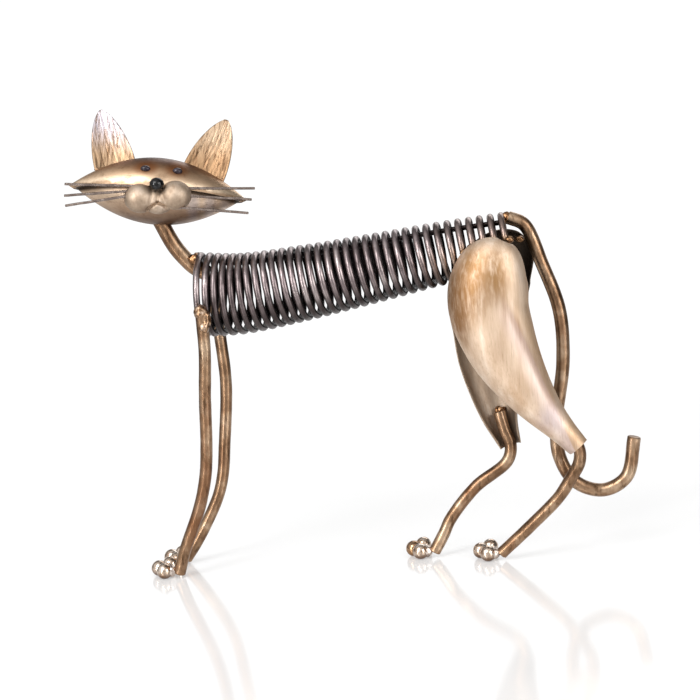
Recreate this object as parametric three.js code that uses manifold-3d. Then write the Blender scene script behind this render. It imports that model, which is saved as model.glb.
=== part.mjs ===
// A welded metal cat: a wire spring for a body, bent rods for neck, legs and tail, sheet haunches,
// an almond head with sheet ears, and three ball toes on each foot.
// Sizes are millimetres. The cat walks towards -X with its left side at -Y, and Z is up.
import * as THREE from "three";
import { mergeVertices } from "three/addons/utils/BufferGeometryUtils.js";
import Module from "manifold-3d";

const wasm = await Module();
wasm.setup();

// Fits. Neighbouring pieces stay this far apart; the real ones are welded across the gap.
const GAP = 0.3;

// Stock: the diameters of the wire and the rods, and the thickness of the sheet.
const WIRE = 3.25;
const SPINE = 2.6;
const NECK = 7.6;
const LEG = 6;
const TAIL = 6.5;
const WHISKER = 1.3;
const SHEET = 1.2;

// Facets: flat sides around each bar, and steps along it.
const ROD_SIDES = 8;
const SPINE_SIDES = 6;
const WIRE_SIDES = 5;
const SPINE_STEPS = 22;
const NECK_STEPS = 18;
const TAIL_STEPS = 32;
const LEG_STEPS = 17;

// Facets of the sheets, the halves of the head and the small round pieces: columns, then rows.
const HAUNCH_FACETS = [8, 13];
const EAR_FACETS = [6, 8];
const HEAD_FACETS = [16, 12];
const BEAD_FACETS = [11, 7];
const TOE_FACETS = [8, 4];

// Spring body: outer diameters at chest and rump, the number of turns between its first and last
// tops, and how much wider the last space between turns is than the first.
const CHEST = 41.4;
const RUMP = 27.3;
const TURNS = 32;
const SPACE_GROWTH = 1.28;
const STEPS_A_TURN = 11;
const STEPS_BEFORE_TOP = 5;
const STEPS_AFTER_TOP = 6;
const SPINE_START_SHARE = 0.08;
const SPINE_END_SHARE = 0.985;
const SPINE_POINTS = 12;
const BODY_AXIS = [[-71.4, 137], [-50, 136.3], [-22, 139.2], [14, 144.3], [50, 149.8], [81.2, 153.7]];

// Rods, drawn from the side as points of x and z. The neck's are shares of the way from under the
// top of the spring's first turn to the middle of the head. A leg's points run down to its foot,
// the hind ones from below their haunch.
const NECK_LINE = [
  [-0.386, -0.226], [-0.144, -0.178], [0.098, -0.099], [0.373, 0.044],
  [0.634, 0.217], [0.954, 0.53], [1.15, 0.775],
];
const TAIL_LINE = [
  [81, 164.2], [87.6, 160.4], [94.6, 141.7], [101.3, 119], [101.4, 94], [96.6, 67],
  [96.6, 48.5], [103.9, 35.3], [116.5, 31], [127.7, 36.8], [132.7, 56],
];
const LEG_LINES = {
  front_left: [
    [-66, 132.6], [-66.4, 113], [-69, 88.7], [-70.9, 65.9], [-73.1, 50.8],
    [-77.6, 35.6], [-82.9, 23.6], [-87.9, 12.6], [-91.6, 1.9],
  ],
  front_right: [
    [-69, 132.6], [-67.4, 112], [-66.5, 89], [-69.7, 59.1],
    [-71.8, 44.1], [-75.4, 32.6], [-86.9, 12.1], [-94, 2.2],
  ],
  hind_left: [[106.6, 47.7], [101.8, 39.4], [95.7, 30.6], [81.5, 17], [65.8, 3.1]],
  hind_right: [[70.4, 44.8], [54.3, 33.2], [41.2, 18.4], [37.4, 11.3], [32.2, 2.7]],
};

// Head: an almond in two pressed halves, turned and tilted to look out sideways.
const HEAD_HALF_LENGTH = 42.8;
const HEAD_HALF_DEPTH = 19;
const HEAD_UP = 16.8;
const HEAD_DOWN = 15.2;
const SEAM_OVERHANG = 1;
const SEAM_EDGE = 1;
const HEAD_CENTRE = [-86.7, 0, 187.4];
const HEAD_TURN = 12.8;
const HEAD_PITCH = -16.4;
const HEAD_ROLL = 10;

// Ears stand on the head, cupped towards the face. Spread is a share of the head's half length.
const EAR_HEIGHT = 28.2;
const EAR_CUP = 4;
const EAR_BACK = 3;
const EAR_FOOT = 4;
const EAR_FULLNESS = 1.7;
const EAR_POINT = 0.62;
const EARS = {
  left: { side: 1, halfWidth: 10.4, spread: 0.5, lean: 18 },
  right: { side: -1, halfWidth: 9.9, spread: 0.51, lean: 19 },
};

// Face pieces are placed by how far across and up they lie, as shares of the head's half length,
// and by how far their middles stand out from the front of the head.
const PAD = [7.6, 6.6, 7];
const PAD_PLACES = [[-0.178, -0.158, 0.2], [0.21, -0.096, 0.2]];
const BRIDGE = [7.4, 4.8, 6.4];
const BRIDGE_PLACE = [0.02, -0.17, 0.2];
const NOSE = [3.5, 3.3, 3.1];
const NOSE_PLACE = [-0.003, -0.013, 3.6];
const EYE = [2.4, 1.8, 1.6];
const EYE_PLACES = [[0.207, 0.186, 0.1], [-0.146, 0.18, 0.1]];

// Whiskers: where each leaves the muzzle and where it ends, across and up as shares of the head's
// half length, all as far forwards as the head is deep.
const WHISKER_ENDS = {
  left_1: [[0.25, -0.02], [1.078, 0.05]],
  left_2: [[0.25, -0.1], [1.053, -0.078]],
  left_3: [[0.25, -0.235], [1.029, -0.233]],
  right_1: [[-0.17, -0.03], [-1.014, -0.08]],
  right_2: [[-0.25, -0.09], [-1.008, -0.21]],
  right_3: [[-0.25, -0.14], [-0.987, -0.322]],
};

// Haunches: cupped sheet, round at the top and cut flat at the tip, open towards each other.
// The left one swings further back than the right one. Taper is how soon a haunch narrows, and
// tipRim how far its tip's edges lie from the middle of the cat.
const HAUNCH_HALF_WIDTH = 18.8;
const HAUNCH_CROWN = 12;
const HAUNCH_FIRST_ROW = 0.004;
const HAUNCH_ROW_EASE = 1.4;
const HAUNCH_RIM_ANGLE = 75;
const HAUNCHES = {
  left: {
    side: -1,
    line: [[79.2, 155.3], [71.8, 140], [69.3, 126], [72.5, 110.5], [78.4, 95.6], [89.4, 76.8], [106.7, 54.9]],
    widest: 0.24,
    taper: 1.78,
    tipRim: 12.7,
  },
  right: {
    side: 1,
    line: [[86.5, 152.8], [73.5, 140], [66.6, 126], [66.5, 110], [65.8, 94], [68, 68], [72.6, 52]],
    widest: 0.3,
    taper: 1.38,
    tipRim: 13.3,
  },
};
const LEG_CHANNEL_SHARES = [0.84, 0.92, 1];
const haunchTopRim = RUMP / 2 + SHEET / 2 + 6 * GAP;
const haunchTipHalfWidth = LEG / 2 + SHEET / 2 + 5 * GAP;
const haunchTipCrown = LEG / 2 + SHEET / 2 + 3 * GAP;

// Feet: three balls ahead of each rod end, each with a small flat underneath to stand on.
const TOE = 7.8;
const TOE_FLAT = 2.4;
const TOE_FAN = 30;

// Each foot: how far from the middle of the cat its rod would reach the floor, counted in toe
// widths, which toe stands straight ahead of the rod (0 for the first, 1 for the middle one), and
// how far the rod's sloping end leans over the balls.
const FEET = {
  front_left: { aside: -1.09, toeAhead: 0.2, tuck: 0 },
  front_right: { aside: 2.48, toeAhead: 1, tuck: 0 },
  hind_left: { aside: -0.385, toeAhead: 0.2, tuck: 0.8 },
  hind_right: { aside: 0.9, toeAhead: 0.2, tuck: 0.5 },
};

const degrees = THREE.MathUtils.degToRad;

// The joined or cut solid of a closed geometry, and back again.
function solidOf(geometry) {
  const plain = geometry.clone();
  plain.deleteAttribute("normal");
  plain.deleteAttribute("uv");
  const merged = mergeVertices(plain, 1e-4);
  const triVerts = new Uint32Array(merged.index.array);
  const vertProperties = merged.attributes.position.array;
  return new wasm.Manifold(new wasm.Mesh({ numProp: 3, vertProperties, triVerts }));
}

function geometryOf(solid) {
  const mesh = solid.getMesh();
  const geometry = new THREE.BufferGeometry();
  geometry.setAttribute("position", new THREE.BufferAttribute(mesh.vertProperties, 3));
  geometry.setIndex(new THREE.BufferAttribute(mesh.triVerts, 1));
  return geometry;
}

function cut(geometry, ...tools) {
  return geometryOf(tools.reduce((left, tool) => left.subtract(solidOf(tool)), solidOf(geometry)));
}

function joined(...geometries) {
  return geometryOf(geometries.map(solidOf).reduce((whole, one) => whole.add(one)));
}

// Moves every corner of a geometry to where the function puts it.
function mapped(geometry, place) {
  const positions = geometry.attributes.position;
  const corner = new THREE.Vector3();
  for (let i = 0; i < positions.count; i++) {
    corner.fromBufferAttribute(positions, i);
    positions.setXYZ(i, ...place(corner).toArray());
  }
  return geometry;
}

// A round bar of the given diameter along a curve, flat at both ends.
function bar(curve, diameter, steps, sides = ROD_SIDES) {
  const section = new THREE.Shape();
  for (let i = 0; i < sides; i++) {
    const angle = (2 * Math.PI * (i + 0.5)) / sides;
    const corner = [Math.cos(angle), Math.sin(angle)].map((n) => (n * diameter) / 2);
    if (i === 0) section.moveTo(...corner);
    else section.lineTo(...corner);
  }
  return new THREE.ExtrudeGeometry(section, { steps, extrudePath: curve });
}

// A smooth curve through points given as x and z, with y worked out from the height.
function route(points, sideways = () => 0) {
  const corners = points.map(([x, z]) => new THREE.Vector3(x, sideways(z), z));
  return new THREE.CatmullRomCurve3(corners, false, "centripetal");
}

// Sheet of even thickness about a surface, which is a function of p across (-1 to 1)
// and v along (0 to 1).
function sheet(surface, columns, rows) {
  const SMALL = 1e-3;
  return mapped(new THREE.BoxGeometry(2, 1, 1, columns, rows, 1), (corner) => {
    const p = corner.x;
    const v = corner.y + 0.5;
    const across = surface(p + SMALL, v).sub(surface(p - SMALL, v));
    const low = Math.max(v - SMALL, 0);
    const along = surface(p, low + 2 * SMALL > 1 ? 1 : low + 2 * SMALL).sub(surface(p, low));
    const normal = across.cross(along).normalize();
    return surface(p, v).addScaledVector(normal, corner.z * SHEET);
  });
}

function ellipsoid(halves, [across, forwards, up], grow = 0) {
  const [a, b, c] = halves.map((half) => half + grow);
  const ball = new THREE.SphereGeometry(1, ...BEAD_FACETS);
  return ball.rotateX(Math.PI / 2).scale(a, b, c).translate(across, -forwards, up);
}

// Spring body. Turns are counted from the first top; the wire starts low on the cat's right.
const bodyAxis = route(BODY_AXIS);
const startTurn = -STEPS_BEFORE_TOP / STEPS_A_TURN;
const endTurn = TURNS + STEPS_AFTER_TOP / STEPS_A_TURN;
const run = (turn) => turn + ((SPACE_GROWTH - 1) * turn * turn) / (2 * TURNS);
const bodyShare = (turn) => (run(turn) - run(startTurn)) / (run(endTurn) - run(startTurn));
const bodyRadius = (share) => (CHEST - (CHEST - RUMP) * share) / 2;

// A point around the body's axis: angle 0 is on top and 90 degrees is on the cat's left.
function aroundBody(share, radius, angle) {
  const along = bodyAxis.getTangentAt(share);
  const top = new THREE.Vector3(-along.z, 0, along.x);
  const point = bodyAxis.getPointAt(share).addScaledVector(top, radius * Math.cos(angle));
  point.y -= radius * Math.sin(angle);
  return point;
}

class CoilPath extends THREE.Curve {
  getPoint(t) {
    const turn = startTurn + t * (endTurn - startTurn);
    const share = Math.min(Math.max(bodyShare(turn), 0), 1);
    return aroundBody(share, bodyRadius(share) - WIRE / 2, 2 * Math.PI * turn);
  }

  getUtoTmapping(u) {
    return u;
  }
}

const coilSteps = TURNS * STEPS_A_TURN + STEPS_BEFORE_TOP + STEPS_AFTER_TOP;
const bodySpring = bar(new CoilPath(), WIRE, coilSteps, WIRE_SIDES);

// The spine lies inside the turns, under their tops.
const spinePoints = Array.from({ length: SPINE_POINTS }, (_, i) => {
  const share = THREE.MathUtils.lerp(SPINE_START_SHARE, SPINE_END_SHARE, i / (SPINE_POINTS - 1));
  return aroundBody(share, bodyRadius(share) - WIRE - GAP - SPINE / 2, 0);
});
const spineRod = bar(new THREE.CatmullRomCurve3(spinePoints), SPINE, SPINE_STEPS, SPINE_SIDES);

// Head, built looking towards -Y about its own centre, then posed.
const headPose = new THREE.Matrix4().makeRotationFromEuler(
  new THREE.Euler(degrees(HEAD_PITCH), degrees(HEAD_ROLL), degrees(HEAD_TURN), "ZXY"),
);
headPose.setPosition(...HEAD_CENTRE);

// One half of the almond, the upper one (side 1) or the lower one (side -1), closed by a flat.
function halfHead(side, length, depth, height, level) {
  const ball = new THREE.SphereGeometry(1, ...HEAD_FACETS).rotateZ(Math.PI / 2);
  return mapped(ball, (corner) => {
    const narrowing = 1 - corner.x ** 2;
    const round = Math.hypot(corner.y, corner.z) || 1;
    const rise = (corner.z / round) * narrowing * height;
    const sideways = (corner.y / round) * narrowing * depth;
    return new THREE.Vector3(corner.x * length, sideways, side * Math.max(side * rise, side * level));
  });
}

// The upper half stands out over the lower one all round the seam.
function headSolid(grow) {
  const length = HEAD_HALF_LENGTH + grow;
  const depth = HEAD_HALF_DEPTH + grow;
  const upper = halfHead(1, length, depth, HEAD_UP + grow, -SEAM_EDGE);
  const lower = halfHead(-1, length - 2 * SEAM_OVERHANG, depth - SEAM_OVERHANG, HEAD_DOWN + grow, 0);
  return joined(upper, lower);
}

const posed = (geometry) => geometry.applyMatrix4(headPose);
const headClear = headSolid(GAP);

// A place on the front of the head, given across and up as shares of its half length, and moved
// forwards by what the piece there stands out.
function onHead([acrossShare, upShare, proud]) {
  const across = acrossShare * HEAD_HALF_LENGTH;
  const up = upShare * HEAD_HALF_LENGTH;
  const narrowing = 1 - acrossShare ** 2;
  const height = narrowing * (up > 0 ? HEAD_UP : HEAD_DOWN);
  return [across, narrowing * HEAD_HALF_DEPTH * Math.sqrt(1 - (up / height) ** 2) + proud, up];
}

// Ears, leaning outwards from their feet on the head.
function ear({ side, halfWidth, spread, lean }) {
  const angle = degrees(lean) * side;
  const up = new THREE.Vector3(Math.sin(angle), 0, Math.cos(angle));
  const outwards = new THREE.Vector3(Math.cos(angle), 0, -Math.sin(angle));
  const foot = new THREE.Vector3(side * spread * HEAD_HALF_LENGTH, EAR_BACK, HEAD_UP * (1 - spread ** 2));
  const surface = (p, v) => {
    const rise = v * (EAR_HEIGHT + EAR_FOOT) - EAR_FOOT;
    const share = Math.min(Math.max(rise / EAR_HEIGHT, 0), 0.99);
    const across = p * halfWidth * (1 - share ** EAR_FULLNESS) ** EAR_POINT;
    const point = foot.clone().addScaledVector(up, rise).addScaledVector(outwards, across);
    point.y -= EAR_CUP * (across / halfWidth) ** 2;
    return point;
  };
  return posed(cut(sheet(surface, ...EAR_FACETS), headClear));
}

// Muzzle: two round pads and the bridge between them, pressed in one piece.
function muzzleSolid(grow) {
  const pads = PAD_PLACES.map((place) => ellipsoid(PAD, onHead(place), grow));
  return joined(...pads, ellipsoid(BRIDGE, onHead(BRIDGE_PLACE), grow));
}

const muzzleClear = muzzleSolid(GAP);

function bead(halves, place) {
  return posed(cut(ellipsoid(halves, onHead(place)), muzzleClear, headClear));
}

function whisker(ends) {
  const [start, end] = ends.map(
    ([across, up]) => new THREE.Vector3(across * HEAD_HALF_LENGTH, -HEAD_HALF_DEPTH, up * HEAD_HALF_LENGTH),
  );
  return posed(cut(bar(new THREE.LineCurve3(start, end), WHISKER, 1, WIRE_SIDES), muzzleClear, headClear));
}

// Neck, from inside the spring's front opening up to the head.
const neckFoot = [BODY_AXIS[0][0], BODY_AXIS[0][1] + CHEST / 2 - WIRE];
const neckPoints = NECK_LINE.map(([along, up]) => [
  neckFoot[0] + along * (HEAD_CENTRE[0] - neckFoot[0]),
  neckFoot[1] + up * (HEAD_CENTRE[2] - neckFoot[1]),
]);
const neckRod = cut(bar(route(neckPoints), NECK, NECK_STEPS), headClear.clone().applyMatrix4(headPose));

// Tail, from behind the last turn, between the haunches and up in a hook.
const tailRod = bar(route(TAIL_LINE), TAIL, TAIL_STEPS);

// Grows like a quarter ellipse from nothing to its most, then eases down to its value at the tip.
function swell({ widest, taper }, v, most, tip) {
  if (v < widest) return most * Math.sqrt(1 - (1 - v / widest) ** 2);
  const beyond = (v - widest) / (1 - widest);
  return tip + (most - tip) * (1 - beyond ** 2) ** taper;
}

// How far the haunch's rim and the bottom of its channel lie from the middle of the cat.
const rimAt = ({ tipRim }, v) => haunchTopRim + (tipRim - haunchTopRim) * v;
const crownAt = (shape, v) => swell(shape, v, HAUNCH_CROWN, haunchTipCrown);

function haunch(shape) {
  const rimAngle = degrees(HAUNCH_RIM_ANGLE);
  const middle = route(shape.line);
  const surface = (p, row) => {
    const v = HAUNCH_FIRST_ROW + (1 - HAUNCH_FIRST_ROW) * row ** HAUNCH_ROW_EASE;
    const along = middle.getTangentAt(v);
    const outwards = new THREE.Vector3(-along.z, 0, along.x);
    const half = swell(shape, v, HAUNCH_HALF_WIDTH, haunchTipHalfWidth);
    const hump = (Math.cos(p * rimAngle) - Math.cos(rimAngle)) / (1 - Math.cos(rimAngle));
    const across = (half * Math.sin(p * rimAngle)) / Math.sin(rimAngle);
    const point = middle.getPointAt(v).addScaledVector(outwards, across);
    point.y = shape.side * (rimAt(shape, v) + crownAt(shape, v) * hump);
    return point;
  };
  return sheet(surface, ...HAUNCH_FACETS);
}

// Legs. A front leg runs from beside the spring's first turns down to its foot, leaning inwards.
function frontLeg(side, aside, points) {
  const footY = aside * TOE;
  const top = CHEST / 2 + GAP + LEG / 2;
  const rate = (side * top - footY) / BODY_AXIS[0][1];
  return route(points, (z) => footY + rate * z);
}

// A hind leg starts in the channel of its haunch and leaves it at the tip.
function hindLeg(shape, aside, points) {
  const footY = aside * TOE;
  const middle = route(shape.line);
  const inChannel = LEG_CHANNEL_SHARES.map((v) => {
    const point = middle.getPointAt(v);
    point.y = shape.side * (rimAt(shape, v) + crownAt(shape, v) - SHEET / 2 - 2 * GAP - LEG / 2);
    return point;
  });
  const tip = inChannel.at(-1);
  const rate = (tip.y - footY) / tip.z;
  const below = points.map(([x, z]) => new THREE.Vector3(x, footY + rate * z, z));
  return new THREE.CatmullRomCurve3([...inChannel, ...below], false, "centripetal");
}

const LEGS = {
  front_left: frontLeg(-1, FEET.front_left.aside, LEG_LINES.front_left),
  front_right: frontLeg(1, FEET.front_right.aside, LEG_LINES.front_right),
  hind_left: hindLeg(HAUNCHES.left, FEET.hind_left.aside, LEG_LINES.hind_left),
  hind_right: hindLeg(HAUNCHES.right, FEET.hind_right.aside, LEG_LINES.hind_right),
};

// The three toes ahead of a rod's end. The middle one leads, and each clears its neighbour and
// the rod.
function toePlaces(end, { toeAhead, tuck }) {
  const spread = (TOE + GAP) * Math.cos(degrees(TOE_FAN));
  const lead = (TOE + GAP) * Math.sin(degrees(TOE_FAN));
  const clear = (LEG + TOE) / 2 + GAP;
  const reach = (sideways) => Math.sqrt(Math.max(clear ** 2 - sideways ** 2, 0));
  const beside = toeAhead * spread;
  const x = end.x - Math.max(reach(beside), reach(spread - beside) - lead) + tuck;
  const y = end.y - beside + spread;
  return [[x, y - spread], [x - lead, y], [x, y + spread]];
}

// A toe ball, turned about its upright axis, with its flat on the floor.
function toe(x, y) {
  const radius = TOE / 2;
  const centre = Math.sqrt(radius ** 2 - (TOE_FLAT / 2) ** 2);
  const low = Math.asin(centre / radius);
  const [columns, rings] = TOE_FACETS;
  const profile = [new THREE.Vector2(0, 0)];
  for (let i = 0; i < rings; i++) {
    const angle = -low + ((Math.PI / 2 + low) * i) / rings;
    profile.push(new THREE.Vector2(radius * Math.cos(angle), centre + radius * Math.sin(angle)));
  }
  profile.push(new THREE.Vector2(0, centre + radius));
  return new THREE.LatheGeometry(profile, columns).rotateX(Math.PI / 2).translate(x, y, 0);
}

const root = new THREE.Group();

function add(name, geometry, colour, roughness = 0.35, metalness = 1) {
  const material = new THREE.MeshStandardMaterial({ color: colour, roughness, metalness });
  const mesh = new THREE.Mesh(geometry, material);
  mesh.name = name;
  root.add(mesh);
}

const BRASS = 0xa08060;
const GUNMETAL = 0x6a6266;
const PALE_GOLD = 0xd8c4a0;

add("body_spring", bodySpring, GUNMETAL);
add("spine_rod", spineRod, GUNMETAL);
add("neck_rod", neckRod, BRASS);
add("tail_rod", tailRod, BRASS);
for (const [name, curve] of Object.entries(LEGS)) {
  add("leg_" + name, bar(curve, LEG, LEG_STEPS), BRASS);
  toePlaces(curve.getPoint(1), FEET[name]).forEach((place, i) => {
    add(`toe_${name}_${i + 1}`, toe(...place), PALE_GOLD);
  });
}
add("haunch_left", haunch(HAUNCHES.left), PALE_GOLD);
add("haunch_right", haunch(HAUNCHES.right), PALE_GOLD);
add("head", posed(headSolid(0)), BRASS);
add("ear_left", ear(EARS.left), BRASS);
add("ear_right", ear(EARS.right), BRASS);
add("muzzle", posed(cut(muzzleSolid(0), headClear)), PALE_GOLD);
add("nose", bead(NOSE, NOSE_PLACE), 0x0a0a0c, 0.15, 0);
add("eye_left", bead(EYE, EYE_PLACES[0]), 0x2a2430, 0.25, 0);
add("eye_right", bead(EYE, EYE_PLACES[1]), 0x2a2430, 0.25, 0);
for (const [name, ends] of Object.entries(WHISKER_ENDS)) add("whisker_" + name, whisker(ends), BRASS);

// The origin is under the middle of the whole part, on the floor.
root.updateMatrixWorld(true);
const box = new THREE.Box3().setFromObject(root, true);
const middle = box.getCenter(new THREE.Vector3());
root.position.set(-middle.x, -middle.y, -box.min.z);

export default root;
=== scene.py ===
import math

import bmesh
import bpy
from mathutils import Matrix, Vector, noise


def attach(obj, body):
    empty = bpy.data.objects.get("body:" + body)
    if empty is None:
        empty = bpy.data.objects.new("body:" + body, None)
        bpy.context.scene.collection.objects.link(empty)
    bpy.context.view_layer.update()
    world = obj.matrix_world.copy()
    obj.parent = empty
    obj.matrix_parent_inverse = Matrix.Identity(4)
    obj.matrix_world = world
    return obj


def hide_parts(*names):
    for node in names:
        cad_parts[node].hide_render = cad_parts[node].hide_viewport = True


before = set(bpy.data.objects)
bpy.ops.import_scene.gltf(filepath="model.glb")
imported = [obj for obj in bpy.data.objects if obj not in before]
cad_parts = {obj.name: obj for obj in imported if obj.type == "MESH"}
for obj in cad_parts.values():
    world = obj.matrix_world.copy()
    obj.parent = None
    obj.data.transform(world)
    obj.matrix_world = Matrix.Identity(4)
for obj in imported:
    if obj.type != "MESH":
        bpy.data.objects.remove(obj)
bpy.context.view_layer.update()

# Sizes are millimetres in the part's own drawing frame; SHIFT takes that frame to the part's origin.
MM = 0.001
SHIFT = Vector((-3.669, -0.228, 0.0))

WIRE, SPINE, NECK, LEG, TAIL, WHISKER, SHEET, GAP = 3.25, 2.6, 7.6, 6.0, 6.5, 1.3, 1.2, 0.3
CHEST, RUMP, TURNS, SPACE_GROWTH = 41.4, 27.3, 32, 1.28
BODY_AXIS = [(-71.4, 137), (-50, 136.3), (-22, 139.2), (14, 144.3), (50, 149.8), (81.2, 153.7)]
HEAD_HALF_LENGTH, HEAD_HALF_DEPTH, HEAD_UP, HEAD_DOWN = 42.8, 19.0, 16.8, 15.2
SEAM_OVERHANG, SEAM_EDGE = 1.2, 1.0
STEPS_A_TURN, STEPS_BEFORE_TOP, STEPS_AFTER_TOP = 11, 5, 6
SPINE_START_SHARE, SPINE_END_SHARE, SPINE_POINTS = 0.08, 0.985, 12
# The share of its thickness that a sheet keeps at its edge, and the sharpest fold shaded smooth.
SHEET_EDGE = 0.35
SMOOTH_FOLD = math.radians(38)
HEAD_CENTRE = Vector((-86.7, 0, 187.4))
HEAD_TURN, HEAD_PITCH, HEAD_ROLL = 12.8, -16.4, 10.0


def vec(x, y, z):
    return Vector((x, y, z))


class Curve:
    """A smooth centripetal curve through points, read by share of its length."""

    def __init__(self, points, samples=600):
        self.p = [Vector(q) for q in points]
        self.table = [self.at(i / samples) for i in range(samples + 1)]
        self.length = [0.0]
        for a, b in zip(self.table, self.table[1:]):
            self.length.append(self.length[-1] + (b - a).length)

    def at(self, t):
        p = self.p
        n = len(p)
        f = t * (n - 1)
        i = min(int(f), n - 2)
        w = f - i
        p0 = p[i - 1] if i > 0 else p[0] * 2 - p[1]
        p3 = p[i + 2] if i + 2 < n else p[n - 1] * 2 - p[n - 2]
        p1, p2 = p[i], p[i + 1]
        d0 = max((p1 - p0).length, 1e-4) ** 0.5
        d1 = max((p2 - p1).length, 1e-4) ** 0.5
        d2 = max((p3 - p2).length, 1e-4) ** 0.5
        t1 = ((p1 - p0) / d0 - (p2 - p0) / (d0 + d1) + (p2 - p1) / d1) * d1
        t2 = ((p2 - p1) / d1 - (p3 - p1) / (d1 + d2) + (p3 - p2) / d2) * d1
        return (
            p1
            + t1 * w
            + (p1 * -3 + p2 * 3 - t1 * 2 - t2) * w * w
            + (p1 * 2 - p2 * 2 + t1 + t2) * w ** 3
        )

    def spaced(self, u):
        """The point at a share of the curve's length."""
        want = min(max(u, 0.0), 1.0) * self.length[-1]
        low, high = 0, len(self.length) - 1
        while high - low > 1:
            mid = (low + high) // 2
            if self.length[mid] <= want:
                low = mid
            else:
                high = mid
        step = self.length[high] - self.length[low]
        w = (want - self.length[low]) / step if step else 0.0
        return self.table[low].lerp(self.table[high], w)

    def tangent(self, u):
        e = 1e-3
        return (self.spaced(min(u + e, 1)) - self.spaced(max(u - e, 0))).normalized()


def route(points, sideways=lambda z: 0.0):
    """A curve through points of the side view, moved sideways by their height."""
    return Curve([vec(x, sideways(z), z) for x, z in points])


def make(name, points, faces, material, node, pose=None):
    """One smooth-shaded piece, riding on the part and standing for its node if it has one."""
    mesh = bpy.data.meshes.new(name)
    if pose is not None:
        points = [pose @ q for q in points]
    mesh.from_pydata([(q + SHIFT) * MM for q in points], [], faces)
    mesh.validate()
    obj = bpy.data.objects.new(name, mesh)
    bpy.context.scene.collection.objects.link(obj)
    bm = bmesh.new()
    bm.from_mesh(mesh)
    bmesh.ops.remove_doubles(bm, verts=bm.verts, dist=2e-6)
    bmesh.ops.recalc_face_normals(bm, faces=bm.faces)
    for f in bm.faces:
        f.smooth = True
    for e in bm.edges:
        if len(e.link_faces) == 2 and e.calc_face_angle(0) > SMOOTH_FOLD:
            e.smooth = False
    bm.to_mesh(mesh)
    bm.free()
    mesh.materials.append(material)
    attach(obj, "root")
    if node:
        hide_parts(node)


def tube(points, radii, sides, round_end=0.12):
    """Corners and faces of a bar through the points, with its end edges softened."""
    verts, faces = [], []
    n = len(points)
    tangents = []
    for i in range(n):
        tangents.append((points[min(i + 1, n - 1)] - points[max(i - 1, 0)]).normalized())
    side = tangents[0].orthogonal().normalized()
    rings = []
    for i in range(n):
        t = tangents[i]
        side = (side - t * side.dot(t)).normalized()
        rings.append((points[i], side.copy(), t.cross(side), radii[i]))
    p, s, u, r = rings[0]
    soft = r * round_end
    rings.insert(0, (p, s, u, r - soft))
    rings[1] = (p + tangents[0] * soft, s, u, r)
    p, s, u, r = rings[-1]
    rings[-1] = (p - tangents[-1] * soft, s, u, r)
    rings.append((p, s, u, r - soft))
    for p, s, u, r in rings:
        for k in range(sides):
            a = 2 * math.pi * k / sides
            verts.append(p + s * (r * math.cos(a)) + u * (r * math.sin(a)))
    m = len(rings)
    for i in range(m - 1):
        for k in range(sides):
            a, b = i * sides + k, i * sides + (k + 1) % sides
            faces.append((a, b, b + sides, a + sides))
    faces.append(tuple(reversed(range(sides))))
    faces.append(tuple(range((m - 1) * sides, m * sides)))
    return verts, faces


def rod(name, curve, diameter, steps, material, node, sides, wobble=0.012, seed=0.0):
    points = [curve.spaced(i / steps) for i in range(steps + 1)]
    radii = []
    for q in points:
        radii.append(diameter / 2 * (1 + wobble * (noise.noise(q * 0.16 + vec(seed, 0, 0)) - 0.4)))
    verts, faces = tube(points, radii, sides)
    make(name, verts, faces, material, node)


def sheet(surface, nu, nv, thickness):
    """A closed sheet about a surface of p (-1 to 1) and v (0 to 1), thinning to round edges."""
    front, back = [], []
    for j in range(nv + 1):
        v = j / nv
        for i in range(nu + 1):
            p = -1 + 2 * i / nu
            e = 1e-3
            across = surface(min(p + e, 1), v) - surface(max(p - e, -1), v)
            along = surface(p, min(v + e, 1)) - surface(p, max(v - e, 0))
            normal = across.cross(along)
            normal = normal.normalized() if normal.length > 1e-9 else vec(0, -1, 0)
            edge = min(1 - abs(p), v * 2.2, (1 - v) * 2.2) / 0.05
            thin = thickness * (SHEET_EDGE + (1 - SHEET_EDGE) * min(edge, 1) ** 0.5)
            q = surface(p, v)
            front.append(q + normal * thin / 2)
            back.append(q - normal * thin / 2)
    verts = front + back
    row, half = nu + 1, len(front)
    faces = []
    for j in range(nv):
        for i in range(nu):
            a = j * row + i
            faces.append((a, a + 1, a + row + 1, a + row))
            b = a + half
            faces.append((b, b + row, b + row + 1, b + 1))
    rim = list(range(row)) + [j * row + nu for j in range(1, nv + 1)]
    rim += [nv * row + i for i in range(nu - 1, -1, -1)] + [j * row for j in range(nv - 1, 0, -1)]
    for a, b in zip(rim, rim[1:] + rim[:1]):
        faces.append((a, a + half, b + half, b))
    return verts, faces


def blob(centre, halves, seed, rough, detail=3):
    """A ball stretched to three half sizes, and lumpy where rough isn't 0."""
    bm = bmesh.new()
    bmesh.ops.create_icosphere(bm, subdivisions=detail, radius=1)
    verts = []
    for v in bm.verts:
        d = v.co.normalized()
        k = 1 + rough * noise.noise(d * 2.1 + vec(seed * 3.7, seed, 0))
        k += rough * 0.4 * noise.noise(d * 6 + vec(0, seed, 9))
        verts.append(Vector(centre) + vec(d.x * halves[0] * k, d.y * halves[1] * k, d.z * halves[2] * k))
    faces = [tuple(v.index for v in f.verts) for f in bm.faces]
    bm.free()
    return verts, faces


def gather(parts):
    """Corners and faces of several parts in one list of each."""
    verts, faces = [], []
    for pv, pf in parts:
        base = len(verts)
        verts += pv
        faces += [tuple(i + base for i in f) for f in pf]
    return verts, faces


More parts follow.
